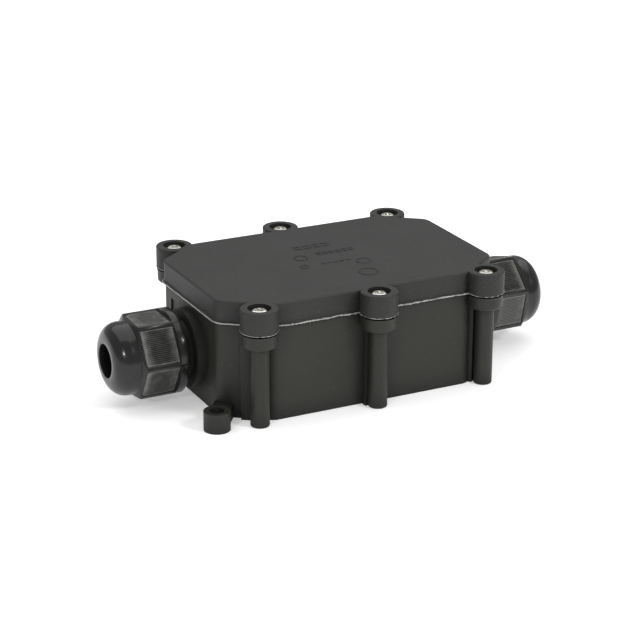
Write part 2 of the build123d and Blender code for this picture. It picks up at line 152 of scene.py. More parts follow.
# raised marks on the lid
MARK_HEIGHT = 0.2
MARK_STROKE = 0.55
MARK_GAP = 0.8
MARK_ROUND = 0.1
MARK_ROWS = (  # rows of plain dashes: start x, y, the length of a dash and how many
    (-6.4, 13.4, 2.6, 4),
    (-6.4, 11.2, 2.6, 4),
    (-2.0, 5.2, 1.6, 6),
    (-2.0, 3.6, 1.6, 6),
    (-5.0, -5.2, 1.5, 5),
)
MARK_RINGS = ((-8.6, 2.6, 2.3), (-11.2, -5.6, 1.4), (9.0, -8.4, 2.4), (5.4, -18.6, 3.2))  # x, y, radius


# ---- handling --------------------------------------------------------------------------------
def only(*pieces):
    """Selects these pieces and nothing else, with the first one active."""
    if bpy.context.object and bpy.context.object.mode != "OBJECT":
        bpy.ops.object.mode_set(mode="OBJECT")
    bpy.ops.object.select_all(action="DESELECT")
    for piece in pieces:
        piece.select_set(True)
    if pieces:
        bpy.context.view_layer.objects.active = pieces[0]


def settle(piece):
    """Puts a piece's place into its mesh."""
    only(piece)
    bpy.ops.object.transform_apply(location=True, rotation=True, scale=True)


def pick(piece, test):
    """Opens a piece for editing with the points selected whose place passes a test."""
    only(piece)
    bpy.ops.object.mode_set(mode="EDIT")
    bpy.ops.mesh.select_mode(type="VERT")
    bpy.ops.mesh.select_all(action="DESELECT")
    bpy.ops.object.mode_set(mode="OBJECT")
    for point in piece.data.vertices:
        point.select = bool(test(point.co))
    bpy.ops.object.mode_set(mode="EDIT")


def close_edit():
    bpy.ops.object.mode_set(mode="OBJECT")


def copy_of(piece):
    twin = piece.copy()
    twin.data = piece.data.copy()
    bpy.context.scene.collection.objects.link(twin)
    return twin


def joined(pieces, name):
    only(*pieces)
    bpy.ops.object.join()
    whole = bpy.context.object
    whole.name = name
    whole.data.name = name
    return whole


def smooth(piece, degrees=35):
    only(piece)
    bpy.ops.object.shade_smooth_by_angle(angle=radians(degrees))


def dress(piece, material, body):
    """Gives a new piece its finish and the body that it moves with."""
    piece.data.materials.clear()
    piece.data.materials.append(material)
    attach(piece, body)


def on_gland(side):
    """The turn and shift that lay a piece built along +Z on a gland's axis."""
    return Matrix.Translation((0, 0, GLAND_AXIS_Z * MM)) @ Matrix.Rotation(radians(90 * side), 4, "Y")


# ---- shader groups ---------------------------------------------------------------------------
EDGE_REACH = 0.45 * MM
# how far the painted crease shade looks for nearby surfaces
CREASE_SHADE_REACH = 7 * MM
PLASTIC_IOR = 1.42
RIB_IOR = 1.4
CREST_RANGE = (0.48, 0.62)  # pointiness of a valley in painted shade and of a crest with painted highlight and rub wear
RIB_VALLEY_SHADE = (0.004, 0.004, 0.0036)
RIB_CREST_SHEEN_AND_WEAR = (0.46, 0.455, 0.425)
FLASH_DARK = (0.06, 0.062, 0.06)
FLASH_PALE = (0.55, 0.555, 0.53)
SPECK_LEVEL = 0.73  # noise above this is a speck
SPECK_SHARE = 0.25
SCRATCH_LEVEL = 0.76  # and above this a scratch
SCRATCH_SHARE = 0.12
RUBBED_GLOSS = -0.1  # change of roughness where an edge is rubbed
CREASE_DULLNESS = 0.3  # and deep in a crease


def new_group(name, inputs, outputs):
    group = bpy.data.node_groups.new(name, "ShaderNodeTree")
    for label, kind, value in inputs:
        socket = group.interface.new_socket(name=label, in_out="INPUT", socket_type=kind)
        socket.default_value = value
    for label, kind in outputs:
        group.interface.new_socket(name=label, in_out="OUTPUT", socket_type=kind)
    enter = group.nodes.new("NodeGroupInput")
    leave = group.nodes.new("NodeGroupOutput")
    return group, enter, leave


def put(tree, kind, **settings):
    node = tree.nodes.new(kind)
    for key, value in settings.items():
        setattr(node, key, value)
    return node


def noise(tree, vector, scale, detail=3.0, rough=0.55):
    node = put(tree, "ShaderNodeTexNoise")
    node.inputs["Detail"].default_value = detail
    node.inputs["Roughness"].default_value = rough
    tree.links.new(vector, node.inputs["Vector"])
    if isinstance(scale, (int, float)):
        node.inputs["Scale"].default_value = scale
    else:
        tree.links.new(scale, node.inputs["Scale"])
    return node


def maths(tree, operation, first, second=None, third=None, clamp=False):
    node = put(tree, "ShaderNodeMath", operation=operation, use_clamp=clamp)
    for index, value in enumerate((first, second, third)):
        if value is None:
            continue
        if isinstance(value, (int, float)):
            node.inputs[index].default_value = value
        else:
            tree.links.new(value, node.inputs[index])
    return node.outputs[0]


def make_moulded_grain():
    """The spark-eroded skin of a mould: fine pits, a soft mottle and faint flow marks."""
    group, enter, leave = new_group(
        "moulded_grain",
        [("Pit Scale", "NodeSocketFloat", 2200.0), ("Flow", "NodeSocketFloat", 0.3)],
        [("Height", "NodeSocketFloat"), ("Mottle", "NodeSocketFloat"), ("Speck", "NodeSocketFloat")],
    )
    place = put(group, "ShaderNodeTexCoord").outputs["Object"]
    pits = noise(group, place, enter.outputs["Pit Scale"], detail=2.0, rough=0.6)
    cells = put(group, "ShaderNodeTexVoronoi", feature="SMOOTH_F1")
    group.links.new(place, cells.inputs["Vector"])
    group.links.new(enter.outputs["Pit Scale"], cells.inputs["Scale"])
    cloud = noise(group, place, scale=55.0, detail=4.0, rough=0.6)
    stretch = put(group, "ShaderNodeMapping")
    stretch.inputs["Scale"].default_value = (30.0, 30.0, 240.0)
    group.links.new(place, stretch.inputs["Vector"])
    streak = noise(group, stretch.outputs["Vector"], scale=1.0, detail=3.0, rough=0.5)
    flow = maths(group, "MULTIPLY", streak.outputs["Fac"], enter.outputs["Flow"])
    grain = maths(group, "ADD", pits.outputs["Fac"], cells.outputs["Distance"])
    height = maths(group, "MULTIPLY_ADD", flow, 0.6, grain)
    mottle = maths(group, "MULTIPLY_ADD", flow, 0.5, cloud.outputs["Fac"], clamp=True)
    rare = noise(group, place, scale=900.0, detail=1.0, rough=0.4)
    speck = maths(group, "GREATER_THAN", rare.outputs["Fac"], SPECK_LEVEL)
    group.links.new(height, leave.inputs["Height"])
    group.links.new(mottle, leave.inputs["Mottle"])
    group.links.new(speck, leave.inputs["Speck"])
    return group


def make_edge_rub():
    """A mask that is high where the surface turns sharply, broken up as handling does it."""
    group, enter, leave = new_group(
        "edge_rub",
        [("Gain", "NodeSocketFloat", 3.0), ("Break", "NodeSocketFloat", 600.0)],
        [("Mask", "NodeSocketFloat")],
    )
    place = put(group, "ShaderNodeTexCoord").outputs["Object"]
    round_edge = put(group, "ShaderNodeBevel", samples=6)
    round_edge.inputs["Radius"].default_value = EDGE_REACH
    surface = put(group, "ShaderNodeNewGeometry")
    match = put(group, "ShaderNodeVectorMath", operation="DOT_PRODUCT")
    group.links.new(round_edge.outputs["Normal"], match.inputs[0])
    group.links.new(surface.outputs["Normal"], match.inputs[1])
    turn = maths(group, "SUBTRACT", 1.0, match.outputs["Value"])
    patch = noise(group, place, enter.outputs["Break"], detail=3.0, rough=0.6)
    broken = maths(group, "MULTIPLY", turn, patch.outputs["Fac"])
    mask = maths(group, "MULTIPLY", broken, enter.outputs["Gain"], clamp=True)
    group.links.new(mask, leave.inputs["Mask"])
    return group


def make_fine_scratches():
    """Short handling marks in two crossing directions."""
    group, enter, leave = new_group(
        "fine_scratches",
        [("Scale", "NodeSocketFloat", 1.0)],
        [("Mask", "NodeSocketFloat")],
    )
    place = put(group, "ShaderNodeTexCoord").outputs["Object"]
    marks = []
    for turn, seed in ((0.5, 0.0), (-0.9, 3.1)):
        lay = put(group, "ShaderNodeMapping")
        lay.inputs["Rotation"].default_value = (0.2, 0.1, turn)
        lay.inputs["Location"].default_value = (seed, 0.0, 0.0)
        lay.inputs["Scale"].default_value = (90.0, 2600.0, 2600.0)
        group.links.new(place, lay.inputs["Vector"])
        line = noise(group, lay.outputs["Vector"], enter.outputs["Scale"], detail=1.0, rough=0.4)
        marks.append(maths(group, "GREATER_THAN", line.outputs["Fac"], SCRATCH_LEVEL))
    group.links.new(maths(group, "MAXIMUM", *marks), leave.inputs["Mask"])
    return group


GRAIN = make_moulded_grain()
RUB = make_edge_rub()
SCRATCHES = make_fine_scratches()


# ---- materials -------------------------------------------------------------------------------
def new_material(name):
    material = bpy.data.materials.new(name)
    material.use_nodes = True
    tree = material.node_tree
    shader = tree.nodes["Principled BSDF"]
    return material, tree, shader


def use(tree, group, **values):
    node = put(tree, "ShaderNodeGroup", node_tree=group)
    for label, value in values.items():
        node.inputs[label.replace("_", " ")].default_value = value
    return node


def blend_colours(tree, mask, low, high):
    """A colour between two, by a mask. Each may be a colour or another node's output."""
    node = put(tree, "ShaderNodeMix", data_type="RGBA")
    tree.links.new(mask, node.inputs["Factor"])
    for label, value in (("A", low), ("B", high)):
        socket = [s for s in node.inputs if s.name == label and s.type == "RGBA"][0]
        if isinstance(value, tuple):
            socket.default_value = (*value, 1.0)
        else:
            tree.links.new(value, socket)
    return [s for s in node.outputs if s.type == "RGBA"][0]


def stretch_range(tree, value, low, high):
    node = put(tree, "ShaderNodeMapRange")
    node.inputs["To Min"].default_value = low
    node.inputs["To Max"].default_value = high
    tree.links.new(value, node.inputs["Value"])
    return node.outputs["Result"]


def bump(tree, shader, height, distance, strength=1.0):
    node = put(tree, "ShaderNodeBump")
    node.inputs["Distance"].default_value = distance
    node.inputs["Strength"].default_value = strength
    tree.links.new(height, node.inputs["Height"])
    tree.links.new(node.outputs["Normal"], shader.inputs["Normal"])


def make_plastic(name, dark, light, worn, rough, pit_scale, pit_depth, flow, gain, crease_shade_share=0.12):
    """Moulded plastic: mottled colour, pitted skin, scuffed edges, a few handling marks and painted shade
    darkening the creases.
    """
    material, tree, shader = new_material(name)
    grain = use(tree, GRAIN, Pit_Scale=pit_scale, Flow=flow)
    rub = use(tree, RUB, Gain=gain, Break=700.0)
    scratch = use(tree, SCRATCHES, Scale=1.0)
    body = blend_colours(tree, grain.outputs["Mottle"], dark, light)
    speck = maths(tree, "MULTIPLY", grain.outputs["Speck"], SPECK_SHARE)
    body = blend_colours(tree, speck, body, worn)
    scratched = maths(tree, "MULTIPLY", scratch.outputs["Mask"], SCRATCH_SHARE)
    marks = maths(tree, "ADD", scratched, rub.outputs["Mask"], clamp=True)
    body = blend_colours(tree, marks, body, worn)
    # Painted shade: the base colour darkens towards a share of the dark tone where ambient occlusion finds
    # creases and hollows.
    crease = put(tree, "ShaderNodeAmbientOcclusion", samples=8)
    crease.inputs["Distance"].default_value = CREASE_SHADE_REACH
    open_air = crease.outputs["AO"]
    painted_crease_shade = tuple(crease_shade_share * part for part in dark)
    tree.links.new(blend_colours(tree, open_air, painted_crease_shade, body), shader.inputs["Base Color"])
    gloss = stretch_range(tree, grain.outputs["Mottle"], *rough)
    rubbed = maths(tree, "MULTIPLY_ADD", marks, RUBBED_GLOSS, gloss)
    sheltered = maths(tree, "SUBTRACT", 1.0, open_air)
    dusty = maths(tree, "MULTIPLY_ADD", sheltered, CREASE_DULLNESS, rubbed, clamp=True)
    tree.links.new(dusty, shader.inputs["Roughness"])
    shader.inputs["IOR"].default_value = PLASTIC_IOR
    bump(tree, shader, grain.outputs["Height"], pit_depth)
    return material


def make_metal(name, dark, light, rough, stretch):
    """Plated or turned metal with a fine lay and slight tarnish."""
    material, tree, shader = new_material(name)
    place = put(tree, "ShaderNodeTexCoord").outputs["Object"]
    lay = put(tree, "ShaderNodeMapping")
    lay.inputs["Scale"].default_value = stretch
    tree.links.new(place, lay.inputs["Vector"])
    fine = noise(tree, lay.outputs["Vector"], scale=1.0, detail=3.0, rough=0.6)
    cloud = noise(tree, place, scale=420.0, detail=3.0, rough=0.6)
    tree.links.new(blend_colours(tree, cloud.outputs["Fac"], dark, light), shader.inputs["Base Color"])
    tree.links.new(stretch_range(tree, cloud.outputs["Fac"], *rough), shader.inputs["Roughness"])
    shader.inputs["Metallic"].default_value = 1.0
    bump(tree, shader, fine.outputs["Fac"], 0.02 * MM)
    return material


def make_knurl_plastic():
    """Grip ribs: painted shade makes the valleys nearly black; a painted highlight mixed with rub wear makes
    the crests paler.
    """
    material, tree, shader = new_material("knurled_nylon")
    place = put(tree, "ShaderNodeTexCoord").outputs["Object"]
    shape = put(tree, "ShaderNodeNewGeometry").outputs["Pointiness"]
    crest = put(tree, "ShaderNodeMapRange")
    crest.inputs["From Min"].default_value = CREST_RANGE[0]
    crest.inputs["From Max"].default_value = CREST_RANGE[1]
    tree.links.new(shape, crest.inputs["Value"])
    patch = noise(tree, place, scale=380.0, detail=4.0, rough=0.6)
    # Painted shade in the valleys, and painted highlight mixed with rub wear on the crests, picked out by
    # pointiness.
    crest_sheen_and_wear = maths(tree, "MULTIPLY", crest.outputs["Result"], patch.outputs["Fac"], clamp=True)
    tone = blend_colours(tree, crest_sheen_and_wear, RIB_VALLEY_SHADE, RIB_CREST_SHEEN_AND_WEAR)
    tree.links.new(tone, shader.inputs["Base Color"])
    tree.links.new(stretch_range(tree, patch.outputs["Fac"], 0.3, 0.46), shader.inputs["Roughness"])
    shader.inputs["IOR"].default_value = RIB_IOR
    return material


def make_bead_plastic():
    """The trimmed moulding flash along the lid's foot: paler, whitened in patches."""
    material, tree, shader = new_material("flash_plastic")
    place = put(tree, "ShaderNodeTexCoord").outputs["Object"]
    patch = noise(tree, place, scale=240.0, detail=4.0, rough=0.65)
    fine = noise(tree, place, scale=1900.0, detail=2.0, rough=0.5)
    tone = blend_colours(tree, patch.outputs["Fac"], FLASH_DARK, FLASH_PALE)
    tree.links.new(tone, shader.inputs["Base Color"])
    tree.links.new(stretch_range(tree, fine.outputs["Fac"], 0.25, 0.55), shader.inputs["Roughness"])
    bump(tree, shader, fine.outputs["Fac"], 0.06 * MM)
    return material


HOUSING = make_plastic(
    "housing_plastic", dark=(0.009, 0.0092, 0.0068), light=(0.020, 0.0203, 0.0155),
    worn=(0.07, 0.069, 0.064), rough=(0.44, 0.56), pit_scale=2400.0, pit_depth=0.035 * MM, flow=0.35,
    gain=2.2,
)
LID = make_plastic(
    "lid_plastic", dark=(0.008, 0.0086, 0.0074), light=(0.028, 0.0292, 0.0268), worn=(0.075, 0.076, 0.074),
    rough=(0.5, 0.62), pit_scale=1700.0, pit_depth=0.06 * MM, flow=0.2, gain=2.2,
)
NYLON = make_plastic(
    "gland_nylon", dark=(0.008, 0.0083, 0.0078), light=(0.014, 0.0144, 0.0136), worn=(0.05, 0.05, 0.048),
    rough=(0.13, 0.24), pit_scale=3200.0, pit_depth=0.006 * MM, flow=0.5, gain=1.6,
)
KNURL = make_knurl_plastic()
RUBBER = make_plastic(
    "seal_rubber", dark=(0.012, 0.012, 0.012), light=(0.02, 0.02, 0.02), worn=(0.04, 0.04, 0.04),
    rough=(0.68, 0.8), pit_scale=2600.0, pit_depth=0.02 * MM, flow=0.1, gain=0.6,
)
BLOCK = make_plastic(
    "terminal_plastic", dark=(0.56, 0.54, 0.48), light=(0.68, 0.66, 0.6), worn=(0.78, 0.77, 0.72),
    rough=(0.34, 0.46), pit_scale=2600.0, pit_depth=0.012 * MM, flow=0.4, gain=0.8, crease_shade_share=0.7,
)
ZINC = make_metal(
    "zinc_steel", dark=(0.62, 0.6, 0.55), light=(0.86, 0.85, 0.82), rough=(0.16, 0.32),
    stretch=(900.0, 900.0, 5200.0),
)
BRASS = make_metal(
    "terminal_brass", dark=(0.5, 0.34, 0.13), light=(0.74, 0.56, 0.28), rough=(0.2, 0.36),
    stretch=(5200.0, 900.0, 900.0),
)
FLASH = make_bead_plastic()

FINISH_OF_SLOT = {
    "housing_plastic": HOUSING,
    "lid_plastic": LID,
    "gland_nylon": NYLON,
    "seal_rubber": RUBBER,
    "zinc_steel": ZINC,
    "terminal_brass": BRASS,
    "terminal_plastic": BLOCK,
}


def finish_cad_nodes():
    slot_of = {part["node"]: part["material_slot"] for part in frame["record"]["subparts"]}
    for name, node in frame["nodes"].items():
        finish = FINISH_OF_SLOT[slot_of[name]]
        if not node.material_slots:
            node.data.materials.append(finish)
        for place in node.material_slots:
            place.material = finish


# ---- solid work -------------------------------------------------------------------------------
def add_drum(radius, low, high, sides=96, tip_radius=None):
    """A drum about Z between two heights, in millimetres, or a cone if its tip has its own radius."""
    only()
    middle = (0, 0, (low + high) / 2 * MM)
    if tip_radius is None:
        bpy.ops.mesh.primitive_cylinder_add(
            vertices=sides, radius=radius * MM, depth=(high - low) * MM, location=middle
        )
    else:
        bpy.ops.mesh.primitive_cone_add(
            vertices=sides, radius1=radius * MM, radius2=tip_radius * MM, depth=(high - low) * MM,
            location=middle,
        )
    drum = bpy.context.object
    settle(drum)
    return drum


def add_bar(size, place, turn=0.0):
    """A bar of a size at a place, in millimetres, turned about Z."""
    only()
    bpy.ops.mesh.primitive_cube_add(size=1)
    bar = bpy.context.object
    bar.scale = [side * MM for side in size]
    settle(bar)
    bar.matrix_world = Matrix.Rotation(turn, 4, "Z") @ Matrix.Translation([v * MM for v in place])
    settle(bar)
    return bar


def round_rim(piece, height, reach, width, segments):
    """Rounds the rim of a drum: the edges at one height that lie beyond a radius."""
    pick(piece, lambda at: abs(at.z - height * MM) < 1e-6 and at.xy.length > reach * MM)
    bpy.ops.mesh.bevel(offset=width * MM, segments=segments, affect="EDGES")
    close_edit()


def cut(piece, tool, operation="DIFFERENCE"):
    """Joins, cuts or trims a piece with a tool, which is used up."""
    step = piece.modifiers.new("Cut", "BOOLEAN")
    step.operation = operation
    step.solver = "EXACT"
    step.object = tool
    only(piece)
    bpy.ops.object.modifier_apply(modifier=step.name)
    bpy.data.objects.remove(tool)


def soften(piece, width, segments=2, degrees=30):
    """Takes the sharpness off a piece's edges."""
    step = piece.modifiers.new("Soften", "BEVEL")
    step.width = width * MM
    step.segments = segments
    step.limit_method = "ANGLE"
    step.angle_limit = radians(degrees)
    step.harden_normals = False
    only(piece)
    bpy.ops.object.modifier_apply(modifier=step.name)


def make_gland_nut():
    """A compression nut along +Z: round flange, hexagon with a recess on each flat, domed end."""
    corner = NUT_ACROSS_FLATS / 2 / cos(pi / 6)
    hex_end = NUT_FLANGE + NUT_HEX
    nut = add_drum(corner, NUT_FLANGE - OVERLAP, hex_end, 6)
    trim_end = hex_end + HEX_TRIM_SKIN
    trim = add_drum(corner + HEX_TRIM_ROOM, 0, hex_end - HEX_BEVEL)
    slope = add_drum(
        corner + HEX_TRIM_ROOM, hex_end - HEX_BEVEL, trim_end, tip_radius=NUT_DOME_RADIUS - HEX_TRIM_SKIN
    )
    cut(trim, slope, "UNION")
    cut(nut, trim, "INTERSECT")
    run, span, depth = GRIP_RECESS
    for index in range(6):
        place = (NUT_ACROSS_FLATS / 2, 0, NUT_FLANGE + GRIP_RECESS_START + run / 2)
        cut(nut, add_bar((2 * depth, span, run), place, radians(60 * index)))
    dome = add_drum(NUT_DOME_RADIUS, hex_end - 2 * OVERLAP, NUT_LENGTH)
    dome_round = NUT_DOME_RADIUS - NUT_MOUTH_RADIUS - NUT_LIP
    round_rim(dome, NUT_LENGTH, SPARE, dome_round, NUT_DOME_STEPS)
    cut(nut, dome, "UNION")
    flange = add_drum(NUT_FLANGE_RADIUS, 0, NUT_FLANGE)
    cut(nut, flange, "UNION")
    start, end, wide = NUT_SEAT
    cut(nut, add_drum(NUT_BORE_RADIUS, -SPARE, start))
    cut(nut, add_drum(wide, start - HAIR, end, tip_radius=NUT_MOUTH_RADIUS))
    cut(nut, add_drum(NUT_MOUTH_RADIUS, start, NUT_LENGTH + SPARE))
    soften(nut, NUT_SOFTNESS)
    return nut


def make_pan_screw():
    """A pan-head cross-recess screw on the Z axis, at its height in the lid."""
    screw = add_drum(HEAD_RADIUS, HEAD_FOOT_Z, HEAD_TOP_Z, 48)
    round_rim(screw, HEAD_TOP_Z, SPARE, HEAD_ROUND, HEAD_STEPS)
    span, width, depth = CROSS
    for turn in (CROSS_TURN, CROSS_TURN + pi / 2):
        cut(screw, add_bar((span, width, 2 * depth), (0, 0, HEAD_TOP_Z), turn))
    cut(screw, add_drum(SHANK_ROOT, SHANK_TIP_Z, HEAD_FOOT_Z + SHANK_OVERLAP, 32), "UNION")
    soften(screw, SCREW_SOFTNESS)
    thread = make_thread("thread", SHANK_ROOT, SHANK_DEPTH, SHANK_PITCH, SHANK_FOOT, SHANK_HEAD, SHANK_STEPS)
    whole = joined([screw, thread], "pan_screw")
    smooth(whole)
    return whole


# ---- gland knurls ----------------------------------------------------------------------------
def make_rib_panel():
    """One ribbed grip: rows of ridges on a thin plate, X along the gland and Z outwards."""
    only()
    bpy.ops.mesh.primitive_grid_add(x_subdivisions=PANEL_COLUMNS, y_subdivisions=PANEL_ROWS, size=1)
    panel = bpy.context.object
    panel.scale = (PANEL_RUN * MM, PANEL_SPAN * MM, 1.0)
    settle(panel)
    columns = sorted({round(point.co.x, 7) for point in panel.data.vertices})
    rows = sorted({round(point.co.y, 7) for point in panel.data.vertices})
    column_of = {x: index for index, x in enumerate(columns)}
    row_of = {y: index for index, y in enumerate(rows)}
    only(panel)
    bpy.ops.object.mode_set(mode="EDIT")
    bpy.ops.mesh.select_all(action="SELECT")
    bpy.ops.mesh.extrude_region_move(TRANSFORM_OT_translate={"value": (0, 0, PLATE * MM)})
    close_edit()

    def inner(place):
        row = row_of[round(place.y, 7)]
        column = column_of[round(place.x, 7)]
        return place.z > PLATE * MM / 2 and 0 < row < len(rows) - 1 and 0 < column < len(columns) - 1

    crests = [inner(point.co) and row_of[round(point.co.y, 7)] % 2 == 1 for point in panel.data.vertices]
    pick(panel, lambda place: False)
    close_edit()
    for point, is_crest in zip(panel.data.vertices, crests):
        point.select = is_crest
    bpy.ops.object.mode_set(mode="EDIT")
    bpy.ops.transform.translate(value=(0, 0, RIB_HEIGHT * MM))
    close_edit()
    return panel


def make_grip_ribs(name, side, turn, pattern):
    """The six ribbed grips of one gland nut, each stood up with its ribs along the gland."""
    stand = Matrix(((0, 0, 1, 0), (0, -1, 0, 0), (1, 0, 0, 0), (0, 0, 0, 1)))
    middle = NUT_INNER_END + NUT_FLANGE + PANEL_START + PANEL_RUN / 2
    out = Matrix.Translation((PANEL_DEPTH_RADIUS * MM, 0, middle * MM))
    grips = []
    for index in range(6):
        grip = copy_of(pattern)
        about = Matrix.Rotation(radians(60 * index + turn), 4, "Z")
        grip.matrix_world = on_gland(side) @ about @ out @ stand
        settle(grip)
        grips.append(grip)
    ribs = joined(grips, name)
    smooth(ribs, 25)
    return ribs


# ---- threads ---------------------------------------------------------------------------------
def make_thread(name, root, depth, pitch, low, high, steps_a_turn):
    """A closed thread ridge round the Z axis between two heights."""
    only()
    foot = pitch * RIDGE_SHARE
    bpy.ops.mesh.primitive_circle_add(
        vertices=4, radius=foot * MM, fill_type="NOTHING",
        location=(root * MM, 0, low * MM), rotation=(radians(90), 0, 0),
    )
    ridge = bpy.context.object
    bpy.ops.object.mode_set(mode="EDIT")
    bpy.ops.mesh.select_all(action="SELECT")
    bpy.ops.transform.resize(value=(depth / foot, 1, 1), center_override=(root * MM, 0, low * MM))
    close_edit()
    settle(ridge)
    turns = (high - low) / pitch
    wind = ridge.modifiers.new("Turns", "SCREW")
    wind.axis = "Z"
    wind.angle = 2 * pi * turns
    wind.screw_offset = (high - low) * MM
    wind.steps = int(steps_a_turn * turns)
    wind.render_steps = wind.steps
    only(ridge)
    bpy.ops.object.modifier_apply(modifier=wind.name)
    bpy.ops.object.mode_set(mode="EDIT")
    bpy.ops.mesh.select_mode(type="EDGE")
    bpy.ops.mesh.select_all(action="DESELECT")
    bpy.ops.mesh.select_non_manifold()
    bpy.ops.mesh.fill_holes(sides=4)
    bpy.ops.mesh.select_all(action="SELECT")
    bpy.ops.mesh.normals_make_consistent(inside=False)
    close_edit()
    ridge.name = name
    ridge.data.name = name
    smooth(ridge)
    return ridge


def make_spigot_thread(name, side):
    thread = make_thread(
        name, SPIGOT_ROOT, SPIGOT_DEPTH, SPIGOT_PITCH, SPIGOT_START, SPIGOT_END, SPIGOT_STEPS
    )
    thread.matrix_world = on_gland(side)
    settle(thread)
    return thread


# ---- seam, post collars and lid marks ---------------------------------------------------------
def lid_outline(inset, step):
    """Points round the lid's plan, a rectangle with chamfered and rounded corners, in millimetres."""
    half_x, half_y = LID_LENGTH / 2, LID_WIDTH / 2
    run_x, run_y = CHAMFER
    reach = run_y * half_x + run_x * (half_y - run_y) - inset * hypot(run_x, run_y)
    far_x, far_y = half_x - inset, half_y - inset
    end_y = (reach - run_y * far_x) / run_x
    side_x = (reach - run_x * far_y) / run_y
    corners = [
        (far_x, end_y), (side_x, far_y), (-side_x, far_y), (-far_x, end_y),
        (-far_x, -end_y), (-side_x, -far_y), (side_x, -far_y), (far_x, -end_y),
    ]
    corners = [Vector(corner) for corner in corners]
    points = []
    for index, corner in enumerate(corners):
        before = (corners[index - 1] - corner).normalized()
        after = (corners[(index + 1) % 8] - corner).normalized()
        half_angle = before.angle(after) / 2
        radius = CORNER_ROUND - inset
        middle = corner + (before + after).normalized() * radius / sin(half_angle)
        start = corner + before * radius * cos(half_angle) / sin(half_angle)
        end = corner + after * radius * cos(half_angle) / sin(half_angle)
        for part in range(CORNER_STEPS + 1):
            mix = start.lerp(end, part / CORNER_STEPS) - middle
            points.append(middle + mix.normalized() * radius)
    dense = []
    for index, point in enumerate(points):
        ahead = points[(index + 1) % len(points)]
        count = max(1, int((ahead - point).length / step))
        dense += [point.lerp(ahead, part / count) for part in range(count)]
    return dense


def ring_outline(x, y, radius, count):
    """Points round a circle, in millimetres."""
    turns = [2 * pi * index / count for index in range(count)]
    return [Vector((x + radius * cos(turn), y + radius * sin(turn))) for turn in turns]


def make_line(name, points, height, radius, sway, pinch, seed):
    """An uneven round line through points at one height. It is nearly even at the lid's left end."""
    draw = random.Random(seed)
    curve = bpy.data.curves.new(name, "CURVE")
    curve.dimensions = "3D"
    curve.bevel_depth = radius * MM
    curve.bevel_resolution = 2
    spline = curve.splines.new("POLY")
    spline.points.add(len(points) - 1)
    drift = 0.0
    for place, point in zip(points, spline.points):
        drift = drift * LINE_HOLD + draw.uniform(-sway, sway)
        calm = CALM_SHARE if place.x < CALM_END_X else 1.0
        point.co = (place.x * MM, place.y * MM, (height + drift * calm) * MM, 1.0)
        point.radius = 1.0 + draw.uniform(-pinch, pinch * SWELL_SHARE) * calm
    spline.use_cyclic_u = True
    line = bpy.data.objects.new(name, curve)
    bpy.context.scene.collection.objects.link(line)
    only(line)
    bpy.ops.object.convert(target="MESH")
    line = bpy.context.object
    smooth(line, 60)
    return line


def make_post_collars():
    """Full-width collars at the heads of the screw posts, round the tapered ones."""
    collars = []
    for x, y in BOSS_SPOTS:
        collar = add_drum(COLLAR_RADIUS, -COLLAR_TOP_Z, -COLLAR_FOOT_Z, 64)
        round_rim(collar, -COLLAR_FOOT_Z, SPARE, COLLAR_ROUND, COLLAR_STEPS)
        cut(collar, add_drum(COLLAR_HOLE, -COLLAR_TOP_Z - SPARE, -COLLAR_FOOT_Z + SPARE, 48))
        collar.matrix_world = Matrix.Translation((x * MM, y * MM, 0)) @ Matrix.Rotation(pi, 4, "X")
        settle(collar)
        collars.append(collar)
    whole = joined(collars, "post_collars")
    smooth(whole)
    return whole


def make_boss_flash():
    """Uneven moulding flash round the feet of the lid's bosses."""
    rings = []
    for index, (x, y) in enumerate(BOSS_SPOTS):
        points = ring_outline(x, y, BOSS_FLASH_RADIUS, BOSS_FLASH_POINTS)
        seed = BOSS_FLASH_SEED + index
        ring = make_line("ring", points, BOSS_FLASH_Z, BOSS_FLASH_WIRE, sway=0.05, pinch=0.9, seed=seed)
        rings.append(ring)
    return joined(rings, "boss_flash")


def make_dash(x, y, length, stroke):
    only()
    bpy.ops.mesh.primitive_cube_add(size=1, location=(x * MM, y * MM, LID_TOP_Z * MM))
    dash = bpy.context.object
    dash.scale = (length * MM, stroke * MM, 2 * MARK_HEIGHT * MM)
    settle(dash)
    bpy.ops.object.mode_set(mode="EDIT")
    bpy.ops.mesh.select_all(action="SELECT")
    bpy.ops.mesh.bevel(offset=MARK_ROUND * MM, segments=2, affect="EDGES")
    close_edit()
    return dash


def make_mark_ring(x, y, radius):
    only()
    bpy.ops.mesh.primitive_torus_add(
        location=(x * MM, y * MM, LID_TOP_Z * MM), major_radius=radius * MM, minor_radius=MARK_HEIGHT * MM,
        major_segments=48, minor_segments=10,
    )
    ring = bpy.context.object
    settle(ring)
    return ring


def make_lid_marks():
    """Plain raised dashes and rings where a moulded legend would be."""
    marks = []
    for start, y, length, count in MARK_ROWS:
        for index in range(count):
            middle = start + length / 2 + index * (length + MARK_GAP)
            marks.append(make_dash(middle, y, length, MARK_STROKE))
    for x, y, radius in MARK_RINGS:
        marks.append(make_mark_ring(x, y, radius))
    whole = joined(marks, "lid_marks")
    smooth(whole)
    return whole


# ---- stage, light and camera -----------------------------------------------------------------
AIM = (0, 0, 0.02)
WORLD_STRENGTH = 0.4
FLOOR_GLOW = 0.33
SOFTBOXES = (  # name, place, size and power
    ("left_softbox", (-0.93, -0.74, 0.6), (0.09, 0.09), 3.2),
    ("front_softbox", (0.58, -0.95, 0.84), (0.24, 0.24), 7.0),
    ("top_softbox", (0.1, 0.35, 1.2), (2.2, 1.8), 15.0),
)
CAMERA_PLACE = (-0.2885, -0.56713, 0.25876)
CAMERA_AZIMUTH = -26.746
CAMERA_ELEVATION = 20.792
CAMERA_ROLL = 0.242
CAMERA_LENS = 114.67


